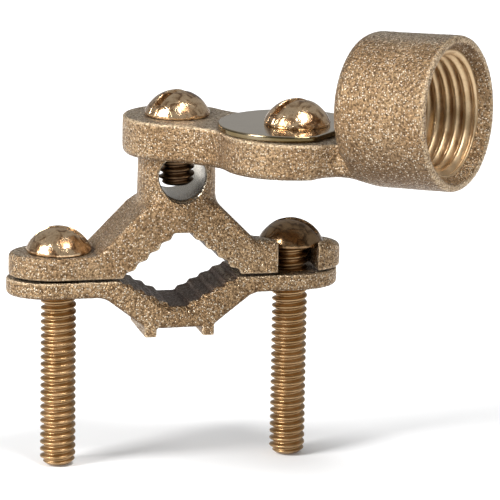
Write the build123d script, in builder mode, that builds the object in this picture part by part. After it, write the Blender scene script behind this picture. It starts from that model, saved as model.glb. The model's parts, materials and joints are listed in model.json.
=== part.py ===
from build123d import *

import os
from math import cos, radians, sin, tan

# Ground clamp for a water pipe, with a hub for conduit.
# Millimetres. X runs across the jaws from the left to the right clamp screw, Y along the pipe, Z up.
# The origin is midway between the clamp screws, at half the pipe jaws' depth, on the parting plane.

# Jaws
screw_spacing = 41.3  # between the clamp screw axes
jaw_depth = 12.7  # along the pipe
ear_reach = 8.7  # from a clamp screw axis to the end of its ear
ear_round = 8.0  # length of the elliptical end of an ear
jaw_gap = 0.4  # between the closed jaws
casting_round = 0.8  # rounding of cast outer edges

# Upper jaw
upper_ear_thickness = 4.0
seat_clearance = 0.55  # round a screw head on its flat seat
arch_height = 12.9  # top of the arch above the parting plane
arch_top_half = 6.2  # half the flat on top of the arch
arch_foot_half = 14.8  # where the arch's outer slopes reach the ears
arch_blend = 2.0  # inside rounding at the arch's feet
grip_half = 10.45  # half the width of both V grips at the parting plane
upper_grip_height = 7.95
upper_grip_flat = 1.65  # half the flat at the top of the V
grip_steps = 4  # teeth on each side of a V
tooth_round = 0.22
riser_run_share = 0.24  # the steep part of a tooth, as a share of its width
riser_drop_share = 0.70  # and of its height

# Front-open slot in the right ear, with a lip that keeps the screw head from sliding out
ear_slot_width = 7.3
lip_height = 1.7  # above the ear, at the slot's inner side
lip_fall = 3.2  # degrees, the slope of the lip's top down towards the ear's end
lip_depth = 3.3  # from the front face
lip_run_in = 2.5  # how far the lip runs into the arch's foot
lip_round = 1.5

# Lower jaw
lower_ear_thickness = 2.95
lower_jaw_shift = -0.45  # the casting's outline stands this far off its screw holes
lower_grip_height = 5.1
lower_grip_flat = 1.65
keel_depth = 8.95  # the outer flat below the parting plane
keel_half = 5.7  # half the outer flat
keel_foot_half = 13.2  # where the outer slopes reach the ears
keel_blend = 4.0
rib_width = 2.1  # the two ribs under the lower jaw
rib_height = 1.45
rib_offset = 5.1  # from the jaw's middle to a rib's middle
grip_chamfer = 0.9  # along the front edge of the lower V

# Boss for the ground wire
boss_radius = 6.85  # where it meets the arch
boss_draft = 1.2  # degrees
boss_height = 23.6  # its top above the parting plane
boss_root = 2.0  # from the top of the V up to where the boss starts inside the arch
wire_hole_radius = 4.1
wire_hole_height = 17.7  # hole axis above the parting plane

# Screws, 1/4 inch 20 threads per inch, drawn at their full diameter
screw_radius = 3.1
thread_clearance = 0.05  # between a screw and its tapped hole
shank_clearance = 0.45  # between a screw and a plain hole
head_radius = 5.65
head_height = 4.35
head_rim = 0.55  # straight rim under the dome
slot_width = 1.5
slot_depth = 2.6
screw_tip = 0.95  # chamfer at the end
clamp_screw_length = 38.1
wire_screw_length = 12.2
plate_screw_length = 7.6
seat_gap = 0.05  # under a head
left_slot_angle = -20.0  # degrees from +X
right_slot_angle = -28.0
wire_slot_angle = 28.0
plate_slot_angle = 20.0

# Arm that carries the hub; it swivels on the boss
arm_yaw = -43.5  # degrees from +X
arm_bottom = 20.9  # above the parting plane
arm_thickness = 6.7
arm_end_radius = 9.4
arm_waist_half = 7.9
arm_waist_blend = 9.0
pad_radius = 13.2
pad_distance = 23.8  # from the boss axis to the pad's screw axis
arm_round = 1.1  # along its lower edges
arm_rise = 1.4  # degrees, the underside's slope from the waist up to the hub
neck_half = 6.8  # half the width of the web between pad and hub
neck_blend = 2.5
socket_clearance = 0.3  # between the boss and the socket in the arm
swivel_gap = 0.2  # over the boss

# Conduit hub, 1/2-14 NPT inside
hub_tilt = 3.2  # degrees, mouth up
hub_rear = 37.0  # from the boss axis to the hub's rear face
hub_length = 17.6
hub_radius = 13.0
hub_axis_lift = 5.3  # above the arm's top, at the rear face
hub_rear_round = 2.6
hub_rim_round = 0.7
hub_foot_blend = 1.3  # inside rounding where the hub rises from the arm's top
hub_thread_radius = 10.6  # at the thread's root
hub_thread_length = 13.4
hub_mouth_radius = 11.9  # wide end of the cast lead-in
hub_lead_in = 1.9
throat_radius = 4.9  # where the wire leaves the hub
throat_lift = 5.6  # throat axis above the arm's top
overrun = 1.0  # how far the hub's cutting and joining shapes run past its faces

# Pressure plate under the pad's screw
plate_thickness = 1.05
plate_radius = 12.2
plate_offset = 1.5  # the disc's middle stands this far from its screw, towards the boss
plate_chord = 8.1  # from the screw axis to the straight side next to the hub
plate_gap = 0.05  # over the arm
plate_edge = 0.2

tolerance = 0.01  # when edges and corners are picked by position

screw_x = screw_spacing / 2
ear_end = screw_x + ear_reach
upper_base = jaw_gap / 2
lower_top = -jaw_gap / 2
ear_top = upper_base + upper_ear_thickness
lower_ear_bottom = lower_top - lower_ear_thickness
arm_top = arm_bottom + arm_thickness
tapped_radius = screw_radius + thread_clearance
plain_radius = screw_radius + shank_clearance
boss_foot = upper_grip_height + boss_root
boss_top_radius = boss_radius - (boss_height - arch_height) * tan(radians(boss_draft))
lip_start = arch_foot_half - lip_run_in
lip_top = Plane(
    origin=(screw_x - ear_slot_width / 2, 0, ear_top + lip_height),
    z_dir=(sin(radians(lip_fall)), 0, cos(radians(lip_fall))),
)
socket_top = boss_height + swivel_gap
neck_length = hub_rear + hub_rear_round - pad_distance
plate_top = arm_top + plate_gap + plate_thickness
arm_plane = Plane.XY.rotated((0, 0, arm_yaw))
arm_direction = Vector(cos(radians(arm_yaw)), sin(radians(arm_yaw)), 0)
arm_side = Vector(0, 0, 1).cross(arm_direction)
pad_centre = (pad_distance * arm_direction.X, pad_distance * arm_direction.Y)
hub_direction = arm_direction * cos(radians(hub_tilt)) + Vector(0, 0, sin(radians(hub_tilt)))
hub_origin = arm_direction * hub_rear + Vector(0, 0, arm_top + hub_axis_lift)
hub_axis = Axis(hub_origin, hub_direction)
hub_section = Plane(origin=hub_origin, x_dir=hub_direction, z_dir=arm_side * -1)
hub_foot = hub_rear + hub_axis_lift * tan(radians(hub_tilt))
foot_section = Plane(
    origin=arm_direction * hub_foot + Vector(0, 0, arm_top), x_dir=arm_direction, z_dir=arm_side * -1
)
arm_underside = Plane(
    origin=arm_direction * arm_end_radius + Vector(0, 0, arm_bottom),
    z_dir=Vector(0, 0, 1) - arm_direction * tan(radians(arm_rise)),
)
throat_plane = Plane(
    origin=arm_direction * (hub_rear - overrun) + Vector(0, 0, arm_top + throat_lift), z_dir=hub_direction
)
dome_radius = (head_radius**2 + (head_height - head_rim) ** 2) / (2 * (head_height - head_rim))


def stepped_side(flat, height):
    """Corner points of one toothed side of a V, from its flat end out to its mouth.

    Each tooth is a steep riser and then a gentler run, so its tip points into the opening.
    One more riser follows the last tooth, down to the parting plane.
    """
    run = (grip_half - flat) / (grip_steps + riser_run_share)
    drop = height / (grip_steps + riser_drop_share)
    points = []
    for step in range(grip_steps + 1):
        x = flat + step * run
        z = height - step * drop
        points.append((x, z))
        points.append((x + riser_run_share * run, z - riser_drop_share * drop))
    return points


def grip_outline(flat, height, below):
    """Closed outline of a whole toothed V, carried straight down past its mouth."""
    right = stepped_side(flat, height)
    left = [(-x, z) for x, z in reversed(right)]
    return left + right + [(grip_half, -below), (-grip_half, -below)]


def turned(outline):
    """The same outline upside down."""
    return [(x, -z) for x, z in outline]


def round_head_screw(length, seat, slot_angle, centre):
    """A round head machine screw hanging from its seat, with a straight driver slot."""
    section = Plane(origin=(*centre, seat), x_dir=(1, 0, 0), z_dir=(0, -1, 0))
    with BuildPart() as screw:
        with BuildSketch(section):
            with BuildLine():
                Polyline(
                    (0, head_height),
                    (0, -length),
                    (screw_radius - screw_tip, -length),
                    (screw_radius, -length + screw_tip),
                    (screw_radius, 0),
                    (head_radius, 0),
                    (head_radius, head_rim),
                )
                RadiusArc((head_radius, head_rim), (0, head_height), -dome_radius)
            make_face()
        revolve(axis=Axis((*centre, seat), (0, 0, 1)))
        with BuildSketch(Plane(origin=(*centre, seat + head_height))):
            Rectangle(4 * head_radius, slot_width, rotation=slot_angle)
        extrude(amount=-slot_depth, mode=Mode.SUBTRACT)
    return screw.part


def jaw_plan():
    """Outline of a jaw seen from above: a straight bar with elliptical ends."""
    straight = ear_end - ear_round
    with BuildSketch() as plan:
        Rectangle(2 * straight, jaw_depth)
        with Locations((-straight, 0), (straight, 0)):
            Ellipse(ear_round, jaw_depth / 2)
    return plan.sketch


def jaw_plan_prism():
    """The jaw's outline as a tall block that trims a jaw's ends."""
    with BuildPart() as prism:
        add(jaw_plan())
        extrude(amount=boss_height, both=True)
    return prism.part


def ear_lip():
    """Lip along the front of the right ear, before the seat and the slot are cut through it."""
    with BuildPart() as lip:
        with BuildSketch(Plane.XY.offset(upper_base + casting_round)):
            with Locations((lip_start, -jaw_depth / 2)):
                Rectangle(ear_end - lip_start, lip_depth, align=(Align.MIN, Align.MIN))
            add(jaw_plan(), mode=Mode.INTERSECT)
        extrude(amount=ear_top + 2 * lip_height - upper_base - casting_round)
        split(bisect_by=lip_top, keep=Keep.BOTTOM)
        rim = lip.faces().sort_by(Axis.Z)[-1].edges()
        fillet(rim.filter_by(lambda e: e.center().X > screw_x + ear_reach / 2), lip_round)
    return lip.part


# Upper jaw: arch with a toothed V, two ears and the boss, one casting
with BuildPart() as upper_jaw:
    with BuildSketch(Plane.XZ):
        with BuildLine():
            Polyline(
                (-ear_end, upper_base),
                (-ear_end, ear_top),
                (-arch_foot_half, ear_top),
                (-arch_top_half, arch_height),
                (arch_top_half, arch_height),
                (arch_foot_half, ear_top),
                (ear_end, ear_top),
                (ear_end, upper_base),
                close=True,
            )
        outline = make_face()
        feet = outline.vertices().filter_by(lambda v: abs(abs(v.X) - arch_foot_half) < tolerance)
        fillet(feet, arch_blend)
    extrude(amount=jaw_depth / 2, both=True)
    add(jaw_plan_prism(), mode=Mode.INTERSECT)
    upper_edges = upper_jaw.edges().filter_by(lambda e: e.center().Z > ear_top - tolerance)
    fillet(upper_edges.filter_by(lambda e: abs(e.center().Y) > tolerance), casting_round)
    add(ear_lip())
    # boss, drafted towards its top
    with BuildSketch(Plane.XY.offset(boss_height)):
        Circle(boss_top_radius)
    extrude(amount=-(boss_height - boss_foot), taper=-boss_draft)
    # toothed V
    with BuildSketch(Plane.XZ.offset(-jaw_depth)) as upper_grip:
        with BuildLine():
            Polyline(*grip_outline(upper_grip_flat, upper_grip_height, jaw_gap), close=True)
        make_face()
        fillet(upper_grip.vertices(), tooth_round)
    extrude(amount=2 * jaw_depth, mode=Mode.SUBTRACT)
    # head seats on both ears, plain hole in the left ear and open slot in the right ear
    with BuildSketch(Plane.XY.offset(ear_top)):
        with Locations((-screw_x, 0), (screw_x, 0)):
            Circle(head_radius + seat_clearance)
    extrude(amount=head_height, mode=Mode.SUBTRACT)
    with Locations((-screw_x, 0, ear_top)):
        Hole(plain_radius, depth=2 * upper_ear_thickness)
    with BuildSketch(Plane.XY):
        with Locations((screw_x, 0)):
            Circle(ear_slot_width / 2)
        with Locations((screw_x, -jaw_depth / 2)):
            Rectangle(ear_slot_width, jaw_depth)
    extrude(amount=ear_top + 2 * lip_height, mode=Mode.SUBTRACT)
    # wire hole through the boss, and the tapped hole above it
    with BuildSketch(Plane.XZ.offset(-jaw_depth)):
        with Locations((0, wire_hole_height)):
            Circle(wire_hole_radius)
    extrude(amount=2 * jaw_depth, mode=Mode.SUBTRACT)
    with BuildSketch(Plane.XY.offset(boss_height)):
        Circle(tapped_radius)
    extrude(amount=-(boss_height - wire_hole_height), mode=Mode.SUBTRACT)


# Lower jaw: matching V, tapped ears and two ribs underneath
with BuildPart() as lower_jaw:
    with BuildSketch(Plane.XZ):
        with BuildLine():
            Polyline(
                (-ear_end, lower_top),
                (-ear_end, lower_ear_bottom),
                (-keel_foot_half, lower_ear_bottom),
                (-keel_half, -keel_depth),
                (keel_half, -keel_depth),
                (keel_foot_half, lower_ear_bottom),
                (ear_end, lower_ear_bottom),
                (ear_end, lower_top),
                close=True,
            )
        keel = make_face()
        keel_feet = keel.vertices().filter_by(lambda v: abs(abs(v.X) - keel_foot_half) < tolerance)
        fillet(keel_feet, keel_blend)
    extrude(amount=jaw_depth / 2, both=True)
    add(jaw_plan_prism(), mode=Mode.INTERSECT)
    lower_edges = lower_jaw.edges().filter_by(lambda e: e.center().Z < lower_ear_bottom + tolerance)
    fillet(lower_edges.filter_by(lambda e: abs(e.center().Y) > tolerance), casting_round)
    with BuildSketch(Plane.XZ):
        with Locations((-rib_offset, -keel_depth), (rib_offset, -keel_depth)):
            Rectangle(rib_width, 2 * rib_height)
    extrude(amount=jaw_depth / 2, both=True)
    with BuildSketch(Plane.XZ.offset(-jaw_depth)) as lower_grip:
        with BuildLine():
            Polyline(*turned(grip_outline(lower_grip_flat, lower_grip_height, jaw_gap)), close=True)
        make_face()
        fillet(lower_grip.vertices(), tooth_round)
    extrude(amount=2 * jaw_depth, mode=Mode.SUBTRACT)
    # sloping edge along the front of the V
    with BuildSketch(Plane.XZ.offset(jaw_depth / 2)):
        with BuildLine():
            Polyline(
                (-grip_half - grip_chamfer, jaw_gap),
                (-grip_half - grip_chamfer, lower_top),
                (-lower_grip_flat - grip_chamfer / 2, -lower_grip_height - grip_chamfer),
                (lower_grip_flat + grip_chamfer / 2, -lower_grip_height - grip_chamfer),
                (grip_half + grip_chamfer, lower_top),
                (grip_half + grip_chamfer, jaw_gap),
                close=True,
            )
        make_face()
    extrude(amount=-grip_chamfer, taper=45, mode=Mode.SUBTRACT)
    with Locations((-screw_x - lower_jaw_shift, 0, 0), (screw_x - lower_jaw_shift, 0, 0)):
        Hole(tapped_radius, depth=2 * keel_depth)
lower_jaw.part = Pos(lower_jaw_shift, 0, 0) * lower_jaw.part


# Arm and conduit hub, one casting
with BuildPart() as hub_arm:
    with BuildSketch(arm_plane.offset(arm_bottom)) as arm_outline:
        Circle(arm_end_radius)
        with Locations((pad_distance / 2, 0)):
            Rectangle(pad_distance, 2 * arm_waist_half)
        with Locations((pad_distance, 0)):
            Circle(pad_radius)
        with Locations((pad_distance, 0)):
            Rectangle(neck_length, 2 * neck_half, align=(Align.MIN, Align.CENTER))
        waist = arm_outline.vertices().filter_by(lambda v: v.X < pad_distance)
        fillet(waist, arm_waist_blend)
        neck = arm_outline.vertices().filter_by(lambda v: pad_distance < v.X < hub_rear)
        fillet(neck, neck_blend)
    extrude(amount=arm_thickness)
    split(bisect_by=arm_underside, keep=Keep.TOP)
    arm_rims = hub_arm.edges().filter_by(lambda e: e.center().Z < arm_bottom + arm_thickness / 4)
    fillet(arm_rims, arm_round)
    # hub body about its tilted axis
    with BuildSketch(hub_section):
        with BuildLine():
            Line((0, 0), (0, hub_radius - hub_rear_round))
            RadiusArc((0, hub_radius - hub_rear_round), (hub_rear_round, hub_radius), hub_rear_round)
            Line((hub_rear_round, hub_radius), (hub_length - hub_rim_round, hub_radius))
            RadiusArc(
                (hub_length - hub_rim_round, hub_radius),
                (hub_length, hub_radius - hub_rim_round),
                hub_rim_round,
            )
            Line((hub_length, hub_radius - hub_rim_round), (hub_length, 0))
            Line((hub_length, 0), (0, 0))
        make_face()
    revolve(axis=hub_axis)
    # inside rounding in the corner between the arm's top and the hub's rear face
    with BuildSketch(foot_section):
        with BuildLine():
            RadiusArc((-hub_foot_blend, 0), (0, hub_foot_blend), -hub_foot_blend)
            Polyline(
                (0, hub_foot_blend),
                (overrun, hub_foot_blend),
                (overrun, -overrun),
                (-hub_foot_blend, -overrun),
                (-hub_foot_blend, 0),
            )
        make_face()
    extrude(amount=neck_half, both=True)
    # threaded bore with its cast lead-in, and the throat behind it
    with BuildSketch(hub_section):
        with BuildLine():
            Polyline(
                (hub_length - hub_thread_length, 0),
                (hub_length - hub_thread_length, hub_thread_radius),
                (hub_length - hub_lead_in, hub_thread_radius),
                (hub_length, hub_mouth_radius),
                (hub_length + overrun, hub_mouth_radius),
                (hub_length + overrun, 0),
                close=True,
            )
        make_face()
    revolve(axis=hub_axis, mode=Mode.SUBTRACT)
    with BuildSketch(throat_plane):
        Circle(throat_radius)
    extrude(amount=hub_length / 2, mode=Mode.SUBTRACT)
    # socket over the boss, and the two screw holes
    with BuildSketch(Plane.XY.offset(arm_bottom)):
        Circle(boss_top_radius + socket_clearance)
    extrude(amount=socket_top - arm_bottom, mode=Mode.SUBTRACT)
    with BuildSketch(Plane.XY.offset(arm_bottom)):
        Circle(plain_radius)
    extrude(amount=arm_thickness, mode=Mode.SUBTRACT)
    with BuildSketch(arm_plane.offset(arm_bottom)):
        with Locations((pad_distance, 0)):
            Circle(tapped_radius)
    extrude(amount=arm_thickness, mode=Mode.SUBTRACT)


# Pressure plate: a disc with one straight side towards the hub
with BuildPart() as pressure_plate:
    with BuildSketch(arm_plane.offset(arm_top + plate_gap)):
        with Locations((pad_distance - plate_offset, 0)):
            Circle(plate_radius)
        with Locations((pad_distance, 0)):
            Circle(plain_radius, mode=Mode.SUBTRACT)
        with Locations((pad_distance + plate_chord, 0)):
            Rectangle(plate_radius, 2 * plate_radius, align=(Align.MIN, Align.CENTER), mode=Mode.SUBTRACT)
    extrude(amount=plate_thickness)
    chamfer(pressure_plate.faces().sort_by(Axis.Z)[-1].outer_wire().edges(), plate_edge)


pieces = {
    "upper_jaw": upper_jaw.part,
    "lower_jaw": lower_jaw.part,
    "hub_arm": hub_arm.part,
    "pressure_plate": pressure_plate.part,
    "left_clamp_screw": round_head_screw(
        clamp_screw_length, ear_top + seat_gap, left_slot_angle, (-screw_x, 0)
    ),
    "right_clamp_screw": round_head_screw(
        clamp_screw_length, ear_top + seat_gap, right_slot_angle, (screw_x, 0)
    ),
    "wire_set_screw": round_head_screw(
        wire_screw_length, arm_top + seat_gap, wire_slot_angle, (0, 0)
    ),
    "plate_screw": round_head_screw(
        plate_screw_length, plate_top + seat_gap, plate_slot_angle, pad_centre
    ),
}

os.makedirs("parts", exist_ok=True)
for name, piece in pieces.items():
    piece.label = name
    export_step(piece, f"parts/{name}.step")
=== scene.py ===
import json
from math import ceil, cos, pi, radians, sin, sqrt

import bmesh
import bpy
import numpy as np
from mathutils import Matrix, Vector, noise


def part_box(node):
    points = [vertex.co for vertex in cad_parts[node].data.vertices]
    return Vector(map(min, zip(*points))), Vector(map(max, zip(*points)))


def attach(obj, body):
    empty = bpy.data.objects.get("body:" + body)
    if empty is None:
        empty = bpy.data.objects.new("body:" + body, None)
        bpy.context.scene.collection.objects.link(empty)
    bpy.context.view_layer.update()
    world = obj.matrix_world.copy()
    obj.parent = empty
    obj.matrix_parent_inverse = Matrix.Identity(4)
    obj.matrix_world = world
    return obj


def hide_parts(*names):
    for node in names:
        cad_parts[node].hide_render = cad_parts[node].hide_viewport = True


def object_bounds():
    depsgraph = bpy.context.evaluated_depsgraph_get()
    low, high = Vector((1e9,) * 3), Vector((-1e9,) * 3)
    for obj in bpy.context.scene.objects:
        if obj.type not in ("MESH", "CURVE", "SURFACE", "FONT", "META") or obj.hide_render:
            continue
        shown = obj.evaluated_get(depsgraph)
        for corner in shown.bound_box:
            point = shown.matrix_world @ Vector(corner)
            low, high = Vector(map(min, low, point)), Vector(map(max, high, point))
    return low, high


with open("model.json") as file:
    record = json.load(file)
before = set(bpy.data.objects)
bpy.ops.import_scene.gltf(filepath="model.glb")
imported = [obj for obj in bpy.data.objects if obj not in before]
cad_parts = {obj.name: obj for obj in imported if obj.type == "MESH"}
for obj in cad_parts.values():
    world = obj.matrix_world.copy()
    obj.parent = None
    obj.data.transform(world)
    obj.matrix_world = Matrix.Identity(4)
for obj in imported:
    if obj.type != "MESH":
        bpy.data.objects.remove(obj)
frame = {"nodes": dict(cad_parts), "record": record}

CAD_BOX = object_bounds()

# Metres, in the row frame. Surface detail is worked out in millimetres.
MM = 0.001
CAD_LOW, CAD_HIGH = (np.array(corner) / MM for corner in CAD_BOX)

# Camera, lights and floor
CAMERA_AZIMUTH = -13.48  # degrees
CAMERA_ELEVATION = 13.19
CAMERA_ROLL = 0.99
CAMERA_DISTANCE = 0.6693
CAMERA_LENS = 276.3  # mm
CAMERA_SENSOR = 36  # mm, its width
AIM_RIGHT = 0.01305  # the aim point, from the row's origin along the view's right and up
AIM_UP = 0.00343
FLOOR_GAP = 0.0003  # under the screw tips
FLOOR_HALF = 6.0
FLOOR_COLOUR = (0.85, 0.85, 0.85)
FLOOR_GLOW = 0.4  # the floor's own light at the back
FLOOR_GLOW_SPAN = (-0.1, 0.25)  # along Y, where it grows from nothing
SKY_COLOUR = (0.97, 0.985, 1.0)
SKY_STRENGTH = 0.37
LIGHT_AIM = Vector((0.012, -0.01, 0.01))
LEFT_LIGHT = Vector((-0.90, -0.29, 0.60))  # from the aim point
LEFT_LIGHT_SIDE = 0.42
LEFT_LIGHT_POWER = 15  # W
TOP_LIGHT = Vector((0.2, -0.4, 0.9))
TOP_LIGHT_SIDE = 0.3
TOP_LIGHT_POWER = 7  # W

WELD = 0.002  # mm, points closer than this are one

# Castings, mm
VOXEL = {"upper_jaw": 0.19, "lower_jaw": 0.17, "hub_arm": 0.245}
EDGE_SOFTENING = 5  # smoothing passes that round the cast edges
# smoothing passes where one cast shape melts into another
BLEND_PASSES = {"upper_jaw": 110, "lower_jaw": 0, "hub_arm": 220}
GRAIN_SIZE = 0.46  # across one bump of the sand-cast grain
GRAIN_DEPTH = 0.07
SWELL_SIZE = 5.0  # slow unevenness of the cast faces
SWELL_DEPTH = 0.08
SKIN = 0.10  # outward allowance that makes up for the softening and the grain
PARTING_BAND = 0.3  # from the parting plane, where the grain stays low
DRILL_EDGE = (0.02, 0.3)  # past the wire hole's radius, where the bare wall ends
GRIP_REACH = (15.0, 17.0)  # from the pipe's axis, where the grip faces end
BOSS_BLEND_REACH = 9.6  # from the boss axis
BOSS_BLEND_CORE = (4.6, 5.6)  # radius inside which the boss is left alone
BOSS_BLEND_HEIGHTS = (9.0, 15.0)
SEAT_MARGIN = (0.1, 0.9)  # past a head's radius, where its seat ends
HUB_ROOT_DEPTHS = (10.5, 13.0, 20.0, 21.5)  # from the mouth: blend starts, full, full, ends
HUB_ROOT_RADII = (11.3, 12.0)
HUB_ROOT_TOP = (26.0, 27.2)  # height where the blend ends
PLATE_EDGE = 0.14  # how far the plate's edges are broken
SHARP_EDGE = 40  # degrees

# Screws, 1/4 inch 20 threads per inch, mm
SCREW_RADIUS = 3.1
THREAD_ROOT = 2.42
THREAD_PITCH = 1.27
THREAD_SAMPLES = 14  # along one pitch
THREAD_COLUMNS = 56  # round one turn
TIP_CHAMFER = 0.95
HEAD_RADIUS = 5.65
HEAD_HEIGHT = 4.35
HEAD_RIM = 0.55
HEAD_COLUMNS = 64
HEAD_ROWS = 22  # from the head's middle to its side
# inset and height of each ring from the rim down to the underside
RIM_RINGS = ((0.0, HEAD_RIM * 0.6), (0.0, 0.18), (-0.06, 0.05), (-0.2, 0.0))
DENT_SIZE = 1.9
DENT_DEPTH = 0.035
DENT_START = (0.1, 0.6)  # above the underside, which stays flat
SLOT_WIDTH = 1.5
SLOT_FLOOR = 1.75  # above the head's underside
SLOT_LIP = 0.2  # rounding of the slot's upper edges
SLOT_ANGLES = {
    "left_clamp_screw": -20,
    "right_clamp_screw": -28,
    "wire_set_screw": 28,
    "plate_screw": 20,
}

# Inside thread of the hub, 1/2-14 NPT, mm
HUB_PITCH = 1.814
HUB_ROOT = 10.58
HUB_CREST = 9.45
HUB_SLEEVE = 10.9  # outside of the threaded sleeve, within the casting's wall
HUB_TAPER = 1 / 32  # on the radius
HUB_COLUMNS = 128  # round one turn
HUB_SAMPLES = 24  # along one pitch
HUB_RIDGE_POWER = 0.45  # below 1 widens the ridges and narrows the grooves
HUB_LEAD = (0.4, 1.4)  # ridge's share at the mouth, and the depth that adds 1 to it

# Colours, linear
BRONZE = ((0.375, 0.24, 0.125), (0.45, 0.305, 0.17))  # in patches
# painted sky reflection: the colour that upward faces turn to, as if they mirrored the bright sky
SKY_SHEEN_TOPS = (0.52, 0.44, 0.33)
# painted shade: the colour that downward faces turn to
UNDERSIDE_SHADE = (0.16, 0.10, 0.055)
BRONZE_GROOVES = (0.10, 0.058, 0.03)
BRONZE_PITS = (0.08, 0.045, 0.024)
# painted glints: pale spots on the grain that stand for highlights
PAINTED_GLINTS = (0.92, 0.82, 0.66)
# painted shade: the colour of concave corners and creases
CORNER_SHADE = (0.06, 0.035, 0.02)
# rubbed edges with a painted highlight along them
WORN_EDGE_HIGHLIGHT = (0.74, 0.58, 0.39)
# painted shade: the colour of the toothed faces inside the jaws
GRIP_SHADE = (0.075, 0.04, 0.025)
BRONZE_DRILLED = (0.50, 0.45, 0.37)
THREAD_TARNISH = (0.30, 0.19, 0.10)
ROLLED_THREAD = ((0.36, 0.225, 0.105), (0.46, 0.30, 0.155))
# painted shade: a darker copy of the rolled thread, for the shank inside the wire hole
SHADED_THREAD_COLOURS = ((0.10, 0.06, 0.032), (0.20, 0.125, 0.07))
CUT_THREAD = ((0.58, 0.41, 0.235), (0.72, 0.54, 0.33))
BRIGHT_HEAD = ((0.80, 0.58, 0.36), (0.44, 0.26, 0.13), (0.13, 0.065, 0.03))
# painted shade: a darker copy of the head colours, for the head under the arm
SHADED_HEAD_COLOURS = ((0.30, 0.19, 0.10), (0.17, 0.10, 0.05), (0.07, 0.04, 0.02))
# painted shade: the colour of the plate's sides
PLATE_SIDE_SHADE = (0.15, 0.11, 0.05)
PLATE_TOP = (0.66, 0.56, 0.42)
PLATE_HAZE = (0.52, 0.45, 0.35)


# Small helpers

def link(name, mesh):
    obj = bpy.data.objects.new(name, mesh)
    bpy.context.scene.collection.objects.link(obj)
    return obj


def mesh_from(name, verts, faces):
    """A mesh object from points in mm and faces, welded, with smooth shading."""
    mesh = bpy.data.meshes.new(name)
    mesh.from_pydata([Vector(v) * MM for v in verts], [], faces)
    bm = bmesh.new()
    bm.from_mesh(mesh)
    bmesh.ops.remove_doubles(bm, verts=bm.verts, dist=WELD * MM)
    bmesh.ops.holes_fill(bm, edges=bm.edges)
    bmesh.ops.recalc_face_normals(bm, faces=bm.faces)
    for face in bm.faces:
        face.smooth = True
    bm.to_mesh(mesh)
    bm.free()
    return link(name, mesh)


def coordinates(mesh):
    co = np.empty(len(mesh.vertices) * 3)
    mesh.vertices.foreach_get("co", co)
    return co.reshape(-1, 3) / MM


def move_to(mesh, points):
    mesh.vertices.foreach_set("co", (points * MM).ravel())
    mesh.update()


def normals(mesh):
    no = np.empty(len(mesh.vertices) * 3)
    mesh.vertices.foreach_get("normal", no)
    return no.reshape(-1, 3)


def edge_ends(mesh):
    ends = np.empty(len(mesh.edges) * 2, int)
    mesh.edges.foreach_get("vertices", ends)
    return ends.reshape(-1, 2)


def neighbour_mean(values, ends):
    """Mean over each vertex's neighbours, for a scalar or a vector at each vertex."""
    flat = values.reshape(len(values), -1)
    count = np.bincount(ends.ravel(), minlength=len(flat)).clip(1)
    out = np.empty_like(flat)
    for k in range(flat.shape[1]):
        total = np.bincount(ends[:, 0], flat[ends[:, 1], k], len(flat))
        total += np.bincount(ends[:, 1], flat[ends[:, 0], k], len(flat))
        out[:, k] = total / count
    return out.reshape(values.shape)


def smoothed(values, ends, passes, weight=None):
    for _ in range(passes):
        step = neighbour_mean(values, ends) - values
        values = values + 0.5 * (step if weight is None else step * weight)
    return values


def smoothstep(low, high, x):
    t = np.clip((x - low) / (high - low), 0, 1)
    return t * t * (3 - 2 * t)


def noise_at(points, size, seed):
    """Perlin noise from about -1 to 1 at each point, for bumps of that size in mm."""
    shift = Vector((seed * 17.3, seed * 5.1, seed * 9.7))
    return np.array([noise.noise(Vector(p) / size + shift) for p in points])


def add_attribute(mesh, name, values):
    attribute = mesh.attributes.new(name, "FLOAT", "POINT")
    attribute.data.foreach_set("value", values.astype(np.float32))


# Where things are, from the frame

def mount(name):
    return next(m for m in frame["record"]["mounts"] if m["name"] == name)


HUB_AXIS = Vector(mount("conduit_hub")["axis"]).normalized()
HUB_CENTRE = Vector(mount("conduit_hub")["pos_m"]) / MM
HUB_LENGTH = mount("conduit_hub")["dims"]["length_mm"]
PIPE = Vector(mount("pipe_grip")["pos_m"]) / MM
WIRE_HOLE = Vector(mount("wire_hole")["pos_m"]) / MM
WIRE_HOLE_RADIUS = mount("wire_hole")["dims"]["r_mm"]


# Castings: the CAD solids with rounded edges and a real cast grain

def drilled(node, points):
    """1 on the drilled wall of the upper jaw's wire hole, 0 elsewhere."""
    if node != "upper_jaw":
        return np.zeros(len(points))
    reach = np.hypot(points[:, 0] - WIRE_HOLE.x, points[:, 2] - WIRE_HOLE.z)
    start, end = DRILL_EDGE
    return 1 - smoothstep(WIRE_HOLE_RADIUS + start, WIRE_HOLE_RADIUS + end, reach)


def parting_face(points):
    """1 close to the plane where the two jaws meet."""
    return 1 - smoothstep(PARTING_BAND, 2 * PARTING_BAND, np.abs(points[:, 2]))


def grip_shade_mask(node, points, outward):
    """1 on the toothed faces that close on the pipe, which get painted shade, 0 elsewhere."""
    if node not in ("upper_jaw", "lower_jaw"):
        return np.zeros(len(points))
    across = points[:, [0, 2]] - [PIPE.x, PIPE.z]
    reach = np.hypot(across[:, 0], across[:, 1])
    towards = -(across * outward[:, [0, 2]]).sum(1) / reach.clip(0.1)
    across_pipe = np.hypot(outward[:, 0], outward[:, 2])
    facing = smoothstep(0.2, 0.6, towards) * smoothstep(0.7, 0.95, across_pipe)
    return facing * (1 - smoothstep(*GRIP_REACH, reach))


def boss_foot(node, points):
    """1 where the boss grows out of the arch, which is one soft cast blend."""
    if node != "upper_jaw":
        return np.zeros(len(points))
    low, high = BOSS_BLEND_HEIGHTS
    radius, z = np.hypot(points[:, 0], points[:, 1]), points[:, 2]
    near = smoothstep(*BOSS_BLEND_CORE, radius)
    near *= 1 - smoothstep(BOSS_BLEND_REACH - 1, BOSS_BLEND_REACH, radius)
    height = smoothstep(low - 0.8, low + 0.4, z) * (1 - smoothstep(high - 1.2, high, z))
    return near * height


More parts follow.
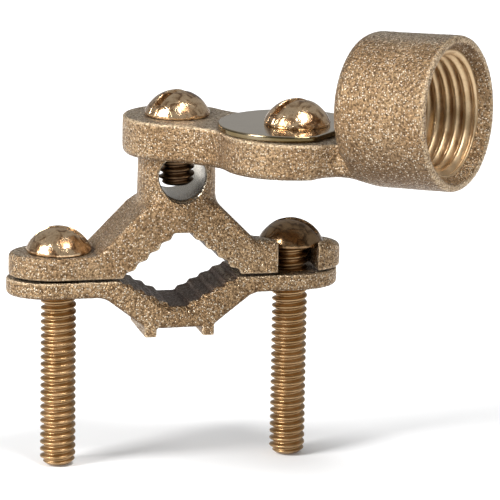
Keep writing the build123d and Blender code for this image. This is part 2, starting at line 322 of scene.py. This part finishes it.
def screw_seat(points, outward):
    """1 on the level tops under the screw heads, where nothing may stand out."""
    seat = np.zeros(len(points))
    start, end = SEAT_MARGIN
    for node in SLOT_ANGLES:
        low, high = (np.array(corner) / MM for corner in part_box(node))
        axis = (low + high) / 2
        reach = np.hypot(points[:, 0] - axis[0], points[:, 1] - axis[1])
        here = 1 - smoothstep(HEAD_RADIUS + start, HEAD_RADIUS + end, reach)
        seat = np.maximum(seat, here)
    return seat * smoothstep(0.5, 0.9, outward[:, 2])


def hub_root(node, points):
    """1 where the arm runs into the hub's rear, which has no crease in it."""
    if node != "hub_arm":
        return np.zeros(len(points))
    offset = points - np.array(HUB_CENTRE + HUB_AXIS * (HUB_LENGTH / 2))
    depth = -offset @ np.array(HUB_AXIS)
    radius = np.sqrt((offset**2).sum(1) - depth**2)
    start, full, full_end, end = HUB_ROOT_DEPTHS
    near = smoothstep(start, full, depth) * (1 - smoothstep(full_end, end, depth))
    below = 1 - smoothstep(*HUB_ROOT_TOP, points[:, 2])
    return near * smoothstep(*HUB_ROOT_RADII, radius) * below


def casting(node, body):
    """Stands for a CAD casting: a fine mesh of it with rounded edges, grain and slow swell."""
    source = frame["nodes"][node]
    obj = link("cast_" + node, source.data.copy())
    remesh = obj.modifiers.new("remesh", "REMESH")
    remesh.mode = "VOXEL"
    remesh.voxel_size = VOXEL[node] * MM
    remesh.use_smooth_shade = True
    bpy.context.view_layer.update()
    depsgraph = bpy.context.evaluated_depsgraph_get()
    fine = bpy.data.meshes.new_from_object(obj.evaluated_get(depsgraph))
    obj.modifiers.clear()
    obj.data = fine
    obj.data.materials.clear()

    points, ends = coordinates(fine), edge_ends(fine)
    bare = drilled(node, points)
    blend = boss_foot(node, points) + hub_root(node, points)
    points = smoothed(points, ends, EDGE_SOFTENING)
    points = smoothed(points, ends, BLEND_PASSES[node], blend[:, None])
    move_to(fine, points)
    outward = normals(fine)

    # how far each vertex stands out from its neighbours: high on edges, low in corners
    stand = ((points - neighbour_mean(points, ends)) * outward).sum(1)
    stand = smoothed(stand, ends, 4)
    edge = smoothstep(0.35, 1.0, stand / np.percentile(stand, 99.3))
    corner = smoothstep(0.15, 1.0, -stand / -np.percentile(stand, 0.7))

    grain = noise_at(points, GRAIN_SIZE, 1) + 0.5 * noise_at(points, GRAIN_SIZE / 2, 2)
    swell = noise_at(points, SWELL_SIZE, 3)
    cast = (1 - bare) * (1 - 0.9 * parting_face(points))
    depth = GRAIN_DEPTH * (0.5 - 0.5 * grain).clip(0, 1.3)
    depth += SWELL_DEPTH * (0.5 - 0.5 * swell)
    depth -= SKIN * (1 - screw_seat(points, outward))
    points = (points - outward * (depth * cast)[:, None]).clip(CAD_LOW, CAD_HIGH)
    move_to(fine, points)
    add_attribute(fine, "edge", edge)
    add_attribute(fine, "corner", corner)
    add_attribute(fine, "bare", bare)
    add_attribute(fine, "grip", grip_shade_mask(node, points, outward))
    add_attribute(fine, "pit", smoothstep(0.1, 0.9, 0.5 - 0.7 * grain))

    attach(obj, body)
    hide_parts(node)
    return obj


def plate():
    """The pressure plate with its edges broken, as one smooth piece."""
    source = frame["nodes"]["pressure_plate"]
    mesh = source.data.copy()
    mesh.materials.clear()
    bm = bmesh.new()
    bm.from_mesh(mesh)
    bmesh.ops.remove_doubles(bm, verts=bm.verts, dist=WELD * MM)
    sharp = [e for e in bm.edges if e.is_manifold and e.calc_face_angle() > radians(SHARP_EDGE)]
    bmesh.ops.bevel(
        bm, geom=sharp, offset=PLATE_EDGE * MM, segments=3, profile=0.5, affect="EDGES"
    )
    for face in bm.faces:
        face.smooth = True
    bm.to_mesh(mesh)
    bm.free()
    obj = link("plate_piece", mesh)
    obj.modifiers.new("weights", "WEIGHTED_NORMAL")
    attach(obj, "pressure_plate")
    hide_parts("pressure_plate")
    return obj


# Screws: round head with a straight slot, and a rolled thread

def head_faces(slot_angle):
    """The dome with its slot, as rows of points that run parallel to the slot."""
    rise = HEAD_HEIGHT - HEAD_RIM
    dome_radius = (HEAD_RADIUS**2 + rise**2) / (2 * rise)
    half = SLOT_WIDTH / 2
    turn = Matrix.Rotation(radians(slot_angle), 3, "Z")

    def dome(x, y):
        return HEAD_HEIGHT - dome_radius + sqrt(max(dome_radius**2 - x * x - y * y, 0))

    # each row is its distance from the slot's middle and a rule for its height there
    outer = [HEAD_RADIUS * sin(pi / 2 * k / HEAD_ROWS) for k in range(HEAD_ROWS + 1)]
    outer = [y for y in outer if y > half + 1.5 * SLOT_LIP]
    rows = [(y, lambda z: z) for y in reversed(outer)]
    rows.append((half + SLOT_LIP, lambda z: z))
    rows.append((half + 0.3 * SLOT_LIP, lambda z: z - 0.3 * SLOT_LIP))
    rows.append((half, lambda z: z - SLOT_LIP))
    rows.append((half - 0.02, lambda z: min(z, SLOT_FLOOR + SLOT_LIP)))
    rows.append((half - 0.2, lambda z: min(z, SLOT_FLOOR)))
    rows.append((0, lambda z: min(z, SLOT_FLOOR)))
    rows += [(-y, rule) for y, rule in reversed(rows[:-1])]

    verts, faces = [], []
    for y, rule in rows:
        reach = sqrt(max(HEAD_RADIUS**2 - y * y, 0))
        for i in range(HEAD_COLUMNS + 1):
            x = -reach * cos(pi * i / HEAD_COLUMNS)
            z = max(rule(dome(x, y)), HEAD_RIM)
            verts.append(turn @ Vector((x, y, z)))
    for r in range(len(rows) - 1):
        for i in range(HEAD_COLUMNS):
            a = r * (HEAD_COLUMNS + 1) + i
            b = a + HEAD_COLUMNS + 1
            faces.append((a, a + 1, b + 1, b))
    return verts, faces


def head_piece(name, slot_angle):
    """The head as one closed shell, with its underside at z = 0 and its edges rounded."""
    verts, faces = head_faces(slot_angle)
    mesh = bpy.data.meshes.new(name)
    mesh.from_pydata(verts, [], faces)
    bm = bmesh.new()
    bm.from_mesh(mesh)
    bmesh.ops.remove_doubles(bm, verts=bm.verts, dist=0.004)
    for inset, z in RIM_RINGS:
        border = [e for e in bm.edges if e.is_boundary]
        grown = bmesh.ops.extrude_edge_only(bm, edges=border)["geom"]
        for v in (g for g in grown if isinstance(g, bmesh.types.BMVert)):
            reach = sqrt(v.co.x**2 + v.co.y**2)
            v.co.x *= (HEAD_RADIUS + inset) / reach
            v.co.y *= (HEAD_RADIUS + inset) / reach
            v.co.z = z
    bmesh.ops.holes_fill(bm, edges=[e for e in bm.edges if e.is_boundary])
    bmesh.ops.recalc_face_normals(bm, faces=bm.faces)
    bm.to_mesh(mesh)
    verts = [v.co.copy() for v in bm.verts]
    faces = [tuple(v.index for v in f.verts) for f in bm.faces]
    bm.free()
    return verts, faces


def thread_profile(phase):
    """Share of the thread's depth at a phase of the pitch: flat root, smooth flank, flat crest."""
    return float(smoothstep(0.12, 0.86, 1 - abs(2 * phase - 1)))


def threaded_shank(length):
    """A right-hand thread from z = -length up to 0, with a chamfered tip."""
    turns = ceil(length / THREAD_PITCH) + 2
    levels = turns * THREAD_SAMPLES
    verts, faces = [], []
    for i in range(THREAD_COLUMNS):
        angle = 2 * pi * i / THREAD_COLUMNS
        for j in range(levels + 1):
            phase = (j % THREAD_SAMPLES) / THREAD_SAMPLES
            pitches = j / THREAD_SAMPLES + i / THREAD_COLUMNS
            z = -length - THREAD_PITCH + THREAD_PITCH * pitches
            radius = THREAD_ROOT + (SCREW_RADIUS - THREAD_ROOT) * thread_profile(phase)
            z = min(max(z, -length), 0)
            taper = SCREW_RADIUS - TIP_CHAMFER * max(0, 1 - (z + length) / TIP_CHAMFER) ** 1.3
            radius = min(radius, taper)
            verts.append((radius * cos(angle), radius * sin(angle), z))
    row = levels + 1
    for i in range(THREAD_COLUMNS):
        step = 0 if i + 1 < THREAD_COLUMNS else THREAD_SAMPLES
        following = (i + 1) % THREAD_COLUMNS
        for j in range(levels - step):
            a, b = i * row + j, following * row + j + step
            faces.append((a, b, b + 1, a + 1))
    return verts, faces


def screw(node, body):
    """The head, which stands for the screw's CAD node, and the threaded shank under it."""
    low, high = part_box(node)
    seat = high.z / MM - HEAD_HEIGHT
    centre = (low + high) / 2 / MM
    foot = Vector((centre.x, centre.y, seat))
    length = seat - low.z / MM
    verts, faces = head_piece("head", SLOT_ANGLES[node])
    head = mesh_from(node + "_head", [v + foot for v in verts], faces)
    verts, faces = threaded_shank(length)
    shank = mesh_from(node + "_shank", [Vector(v) + foot for v in verts], faces)
    points = coordinates(head.data)
    outward = normals(head.data)
    # heads come out of the tumbling barrel very slightly dented
    dents = DENT_DEPTH * (noise_at(points, DENT_SIZE, foot.x) - 0.2)
    dents *= smoothstep(*DENT_START, points[:, 2] - seat)
    points = points + outward * dents[:, None]
    move_to(head.data, points)
    for piece in (head, shank):
        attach(piece, body)
    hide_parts(node)
    return head, shank


# Inside thread of the hub

def hub_thread():
    """A threaded sleeve that lines the hub's bore: ridges inwards, plain wall outwards."""
    rows = round(HUB_LENGTH / HUB_PITCH * HUB_SAMPLES)
    side = HUB_AXIS.cross(Vector((0, 0, 1))).normalized()
    up = side.cross(HUB_AXIS)
    mouth = HUB_CENTRE + HUB_AXIS * (HUB_LENGTH / 2)
    first_share, run_in = HUB_LEAD
    verts, faces = [], []
    for i in range(HUB_COLUMNS):
        angle = 2 * pi * i / HUB_COLUMNS
        outward = side * cos(angle) + up * sin(angle)
        profile = []
        for j in range(rows + 1):
            depth = HUB_LENGTH * j / rows
            phase = (depth / HUB_PITCH + i / HUB_COLUMNS) % 1
            ridge = (0.5 - 0.5 * cos(2 * pi * phase)) ** HUB_RIDGE_POWER
            lead = min(1, first_share + depth / run_in)
            radius = HUB_ROOT - HUB_TAPER * depth - (HUB_ROOT - HUB_CREST) * ridge * lead
            profile.append((radius, depth))
        profile += [(HUB_SLEEVE, HUB_LENGTH), (HUB_SLEEVE, 0)]
        verts += [mouth - HUB_AXIS * depth + outward * radius for radius, depth in profile]
    loop = rows + 3
    for i in range(HUB_COLUMNS):
        for j in range(loop):
            a, b = i * loop, (i + 1) % HUB_COLUMNS * loop
            following = (j + 1) % loop
            faces.append((a + j, a + following, b + following, b + j))
    obj = mesh_from("hub_thread", verts, faces)
    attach(obj, "hub_arm")
    return obj


# Materials

class Nodes:
    """Short calls for building one material's node tree."""

    def __init__(self, name):
        self.material = bpy.data.materials.new(name)
        self.material.use_nodes = True
        self.tree = self.material.node_tree
        self.shader = self.tree.nodes["Principled BSDF"]
        self.place = self.tree.nodes.new("ShaderNodeTexCoord").outputs["Object"]

    def join(self, value, socket):
        if isinstance(value, bpy.types.NodeSocket):
            self.tree.links.new(value, socket)
        else:
            socket.default_value = value

    def noise(self, size, detail=3.0, rough=0.55, distortion=0.0):
        """Noise with bumps of that size in mm."""
        node = self.tree.nodes.new("ShaderNodeTexNoise")
        self.join(self.place, node.inputs["Vector"])
        node.inputs["Scale"].default_value = 1 / (size * MM)
        node.inputs["Detail"].default_value = detail
        node.inputs["Roughness"].default_value = rough
        node.inputs["Distortion"].default_value = distortion
        return node.outputs["Fac"]

    def cells(self, size):
        """Cells of that size in mm: the distance from each one's middle, and its random share."""
        node = self.tree.nodes.new("ShaderNodeTexVoronoi")
        self.join(self.place, node.inputs["Vector"])
        node.inputs["Scale"].default_value = 1 / (size * MM)
        split = self.tree.nodes.new("ShaderNodeSeparateColor")
        self.join(node.outputs["Color"], split.inputs[0])
        return node.outputs["Distance"], split.outputs[0]

    def attribute(self, name):
        node = self.tree.nodes.new("ShaderNodeAttribute")
        node.attribute_name = name
        return node.outputs["Fac"]

    def facing_up(self):
        """The surface normal's height in the object's own frame, -1 to 1."""
        coordinates_node = self.tree.nodes.new("ShaderNodeTexCoord")
        split = self.tree.nodes.new("ShaderNodeSeparateXYZ")
        self.join(coordinates_node.outputs["Normal"], split.inputs[0])
        return split.outputs["Z"]

    def math(self, operation, a, b=0.0):
        node = self.tree.nodes.new("ShaderNodeMath")
        node.operation = operation
        self.join(a, node.inputs[0])
        self.join(b, node.inputs[1])
        return node.outputs[0]

    def spread(self, value, low, high, to_low=0.0, to_high=1.0):
        """The value's span from low to high, stretched to to_low to to_high and held there."""
        node = self.tree.nodes.new("ShaderNodeMapRange")
        node.interpolation_type = "SMOOTHSTEP"
        self.join(value, node.inputs["Value"])
        sockets = ("From Min", "From Max", "To Min", "To Max")
        for socket, number in zip(sockets, (low, high, to_low, to_high)):
            node.inputs[socket].default_value = number
        return node.outputs["Result"]

    def mix(self, share, a, b):
        """Colour a turning to colour b as share goes from 0 to 1."""
        node = self.tree.nodes.new("ShaderNodeMix")
        node.data_type = "RGBA"
        self.join(share, node.inputs["Factor"])
        self.join(a if isinstance(a, bpy.types.NodeSocket) else (*a, 1), node.inputs["A"])
        self.join(b if isinstance(b, bpy.types.NodeSocket) else (*b, 1), node.inputs["B"])
        return node.outputs["Result"]

    def bump(self, height, depth, strength=1.0, under=None):
        """Bump from a height of 0 to 1, which stands for depth mm."""
        node = self.tree.nodes.new("ShaderNodeBump")
        node.inputs["Distance"].default_value = depth * MM
        node.inputs["Strength"].default_value = strength
        self.join(height, node.inputs["Height"])
        if under is not None:
            self.join(under, node.inputs["Normal"])
        return node.outputs["Normal"]

    def finish(self, colour, roughness, normal, metallic=1.0):
        self.join(colour, self.shader.inputs["Base Color"])
        self.join(roughness, self.shader.inputs["Roughness"])
        self.join(normal, self.shader.inputs["Normal"])
        self.shader.inputs["Metallic"].default_value = metallic
        return self.material


def cast_bronze():
    """Sand-cast bronze: dark in its pits, bright on rubbed edges, with painted shade in corners,
    undersides and grips, painted sky on tops, painted glints and edge highlights.
    """
    n = Nodes("cast_bronze")
    patches = n.noise(8.0, detail=4)
    grain = n.noise(0.36, detail=2, rough=0.6)
    fine = n.noise(0.19, detail=1)
    distance, chance = n.cells(0.30)
    colour = n.mix(n.spread(patches, 0.35, 0.65), *BRONZE)
    # painted sky reflection: faces that look up are lightened
    colour = n.mix(n.spread(n.facing_up(), 0.90, 0.99, 0, 0.7), colour, SKY_SHEEN_TOPS)
    # painted shade: faces that look down are darkened
    colour = n.mix(n.spread(n.facing_up(), -0.8, 0.05, 0.7, 0), colour, UNDERSIDE_SHADE)
    colour = n.mix(n.spread(grain, 0.34, 0.56, 0.85, 0), colour, BRONZE_GROOVES)
    colour = n.mix(n.spread(n.attribute("pit"), 0.3, 1.0, 0, 0.5), colour, BRONZE_PITS)
    # painted glints: pale spots on some grain cells
    glint = n.math("MULTIPLY", n.spread(chance, 0.62, 0.80), n.spread(distance, 0.22, 0.55, 1, 0))
    colour = n.mix(n.math("MULTIPLY", glint, 0.75), colour, PAINTED_GLINTS)
    # painted shade in concave corners
    colour = n.mix(n.math("MULTIPLY", n.attribute("corner"), 0.6), colour, CORNER_SHADE)
    # rubbed edges, lightened on the grain, with a painted highlight
    worn_and_highlit = n.math("MULTIPLY", n.attribute("edge"), n.spread(grain, 0.38, 0.56, 0.25, 0.8))
    colour = n.mix(worn_and_highlit, colour, WORN_EDGE_HIGHLIGHT)
    # painted shade on the toothed faces inside the jaws
    colour = n.mix(n.math("MULTIPLY", n.attribute("grip"), 0.8), colour, GRIP_SHADE)
    colour = n.mix(n.attribute("bare"), colour, BRONZE_DRILLED)
    roughness = n.spread(grain, 0.35, 0.65, 0.50, 0.33)
    roughness = n.math("SUBTRACT", roughness, n.math("MULTIPLY", n.attribute("bare"), 0.12))
    cast_share = n.spread(n.attribute("bare"), 0, 1, 1, 0.12)
    normal = n.bump(n.math("MULTIPLY", grain, cast_share), 0.42)
    normal = n.bump(n.math("MULTIPLY", fine, cast_share), 0.09, under=normal)
    return n.finish(colour, roughness, normal)


def threaded_bronze(name, base, bright, rough):
    """Cut or rolled thread: warm, semi-gloss, with fine scoring and a little tarnish."""
    n = Nodes(name)
    patches = n.noise(2.5, detail=3)
    fine = n.noise(0.25, detail=2)
    colour = n.mix(n.spread(patches, 0.35, 0.65), base, bright)
    colour = n.mix(n.spread(fine, 0.56, 0.72, 0, 0.35), colour, THREAD_TARNISH)
    roughness = n.spread(patches, 0.3, 0.7, rough, rough + 0.12)
    return n.finish(colour, roughness, n.bump(fine, 0.03))


def polished_head(name, bright, dull, dark, tarnish):
    """Tumbled screw head: glossy golden bronze with shallow dents, faint scratches and tarnish."""
    n = Nodes(name)
    patches = n.noise(1.7, detail=5, distortion=0.8)
    fine = n.noise(0.35, detail=2)
    colour = n.mix(n.spread(patches, 0.38, 0.66), bright, dull)
    colour = n.mix(n.spread(patches, 0.50, 0.62, 0, tarnish), colour, dark)
    colour = n.mix(n.spread(fine, 0.56, 0.70, 0, 0.45), colour, dark)
    roughness = n.spread(patches, 0.3, 0.7, 0.13, 0.27)
    normal = n.bump(patches, 0.16)
    return n.finish(colour, roughness, n.bump(fine, 0.014, under=normal))


def polished_plate():
    """Rolled and polished plate: pale, almost a mirror, with faint rolling marks and painted shade
    on its sides.
    """
    n = Nodes("polished_plate")
    haze = n.noise(5.0, detail=3)
    fine = n.noise(0.4, detail=2)
    # painted shade on the plate's sides, lighter on its top
    colour = n.mix(n.spread(n.facing_up(), 0.6, 0.95), PLATE_SIDE_SHADE, PLATE_TOP)
    colour = n.mix(n.spread(haze, 0.4, 0.7, 0, 0.25), colour, PLATE_HAZE)
    roughness = n.spread(haze, 0.3, 0.7, 0.10, 0.18)
    return n.finish(colour, roughness, n.bump(fine, 0.004))


def floor_material():
    """Pale and matt, with a little light of its own towards the back."""
    n = Nodes("pale_floor")
    split = n.tree.nodes.new("ShaderNodeSeparateXYZ")
    n.join(n.place, split.inputs[0])
    n.shader.inputs["Emission Color"].default_value = (1, 1, 1, 1)
    glow = n.spread(split.outputs["Y"], *FLOOR_GLOW_SPAN, 0.0, FLOOR_GLOW)
    n.join(glow, n.shader.inputs["Emission Strength"])
    return n.finish((*FLOOR_COLOUR, 1), 0.9, n.bump(n.noise(3.0), 0.01), metallic=0.0)


def paint(obj, material):
    obj.data.materials.clear()
    obj.data.materials.append(material)


# Stage

def camera_frame():
    """The view's right, up and backward directions, with its roll."""
    azimuth, roll = radians(CAMERA_AZIMUTH), radians(CAMERA_ROLL)
    elevation = radians(CAMERA_ELEVATION)
    flat = cos(elevation)
    back = Vector((sin(azimuth) * flat, -cos(azimuth) * flat, sin(elevation)))
    level = Vector((cos(azimuth), sin(azimuth), 0))
    upright = back.cross(level)
    right = level * cos(roll) + upright * sin(roll)
    up = upright * cos(roll) - level * sin(roll)
    return right, up, back


def add_camera():
    right, up, back = camera_frame()
    place = right * AIM_RIGHT + up * AIM_UP + back * CAMERA_DISTANCE
    data = bpy.data.cameras.new("camera")
    data.lens = CAMERA_LENS
    data.sensor_width = CAMERA_SENSOR
    data.clip_start, data.clip_end = 0.05, 50
    camera = bpy.data.objects.new("camera", data)
    turn = Matrix((right, up, back)).transposed().to_4x4()
    camera.matrix_world = Matrix.Translation(place) @ turn
    bpy.context.scene.collection.objects.link(camera)
    bpy.context.scene.camera = camera


def add_softbox(name, offset, side, power):
    """A square light that stands off the aim point and faces it."""
    data = bpy.data.lights.new(name, "AREA")
    data.shape = "RECTANGLE"
    data.size = data.size_y = side
    data.energy = power
    light = bpy.data.objects.new(name, data)
    light.location = LIGHT_AIM + offset
    light.rotation_euler = (LIGHT_AIM - light.location).to_track_quat("-Z", "Y").to_euler()
    bpy.context.scene.collection.objects.link(light)


def add_floor(level):
    signs = ((-1, -1), (1, -1), (1, 1), (-1, 1))
    corners = [(x * FLOOR_HALF, y * FLOOR_HALF, level) for x, y in signs]
    mesh = bpy.data.meshes.new("floor")
    mesh.from_pydata(corners, [], [(0, 1, 2, 3)])
    floor = link("floor", mesh)
    paint(floor, floor_material())


def add_surroundings():
    world = bpy.data.worlds.new("studio")
    world.use_nodes = True
    background = world.node_tree.nodes["Background"]
    background.inputs["Color"].default_value = (*SKY_COLOUR, 1)
    background.inputs["Strength"].default_value = SKY_STRENGTH
    bpy.context.scene.world = world


def add_lights():
    """A large softbox on the left and a small one overhead."""
    add_softbox("left_softbox", LEFT_LIGHT, LEFT_LIGHT_SIDE, LEFT_LIGHT_POWER)
    add_softbox("top_softbox", TOP_LIGHT, TOP_LIGHT_SIDE, TOP_LIGHT_POWER)


# The object

cast = cast_bronze()
for node in VOXEL:
    paint(casting(node, node), cast)

thread = threaded_bronze("rolled_thread", *ROLLED_THREAD, 0.30)
# painted shade: darker copy of the rolled thread for the wire set screw in its hole
shaded_thread = threaded_bronze("tarnished_thread", *SHADED_THREAD_COLOURS, 0.28)
bright_head = polished_head("polished_head", *BRIGHT_HEAD, 0.65)
# painted shade: darker copy of the head finish, with a little more tarnish, for the right clamp
# screw's head
shaded_head = polished_head("tarnished_head", *SHADED_HEAD_COLOURS, 0.7)
for node in SLOT_ANGLES:
    head, shank = screw(node, node)
    # the right clamp screw's head gets the copy with painted shade
    paint(head, shaded_head if node == "right_clamp_screw" else bright_head)
    # the wire set screw's shank gets the thread copy with painted shade
    paint(shank, shaded_thread if node == "wire_set_screw" else thread)

paint(hub_thread(), threaded_bronze("cut_thread", *CUT_THREAD, 0.36))

paint(plate(), polished_plate())

add_camera()
add_floor(CAD_BOX[0].z - FLOOR_GAP)
add_surroundings()
add_lights()
bpy.context.scene.view_settings.view_transform = "Standard"
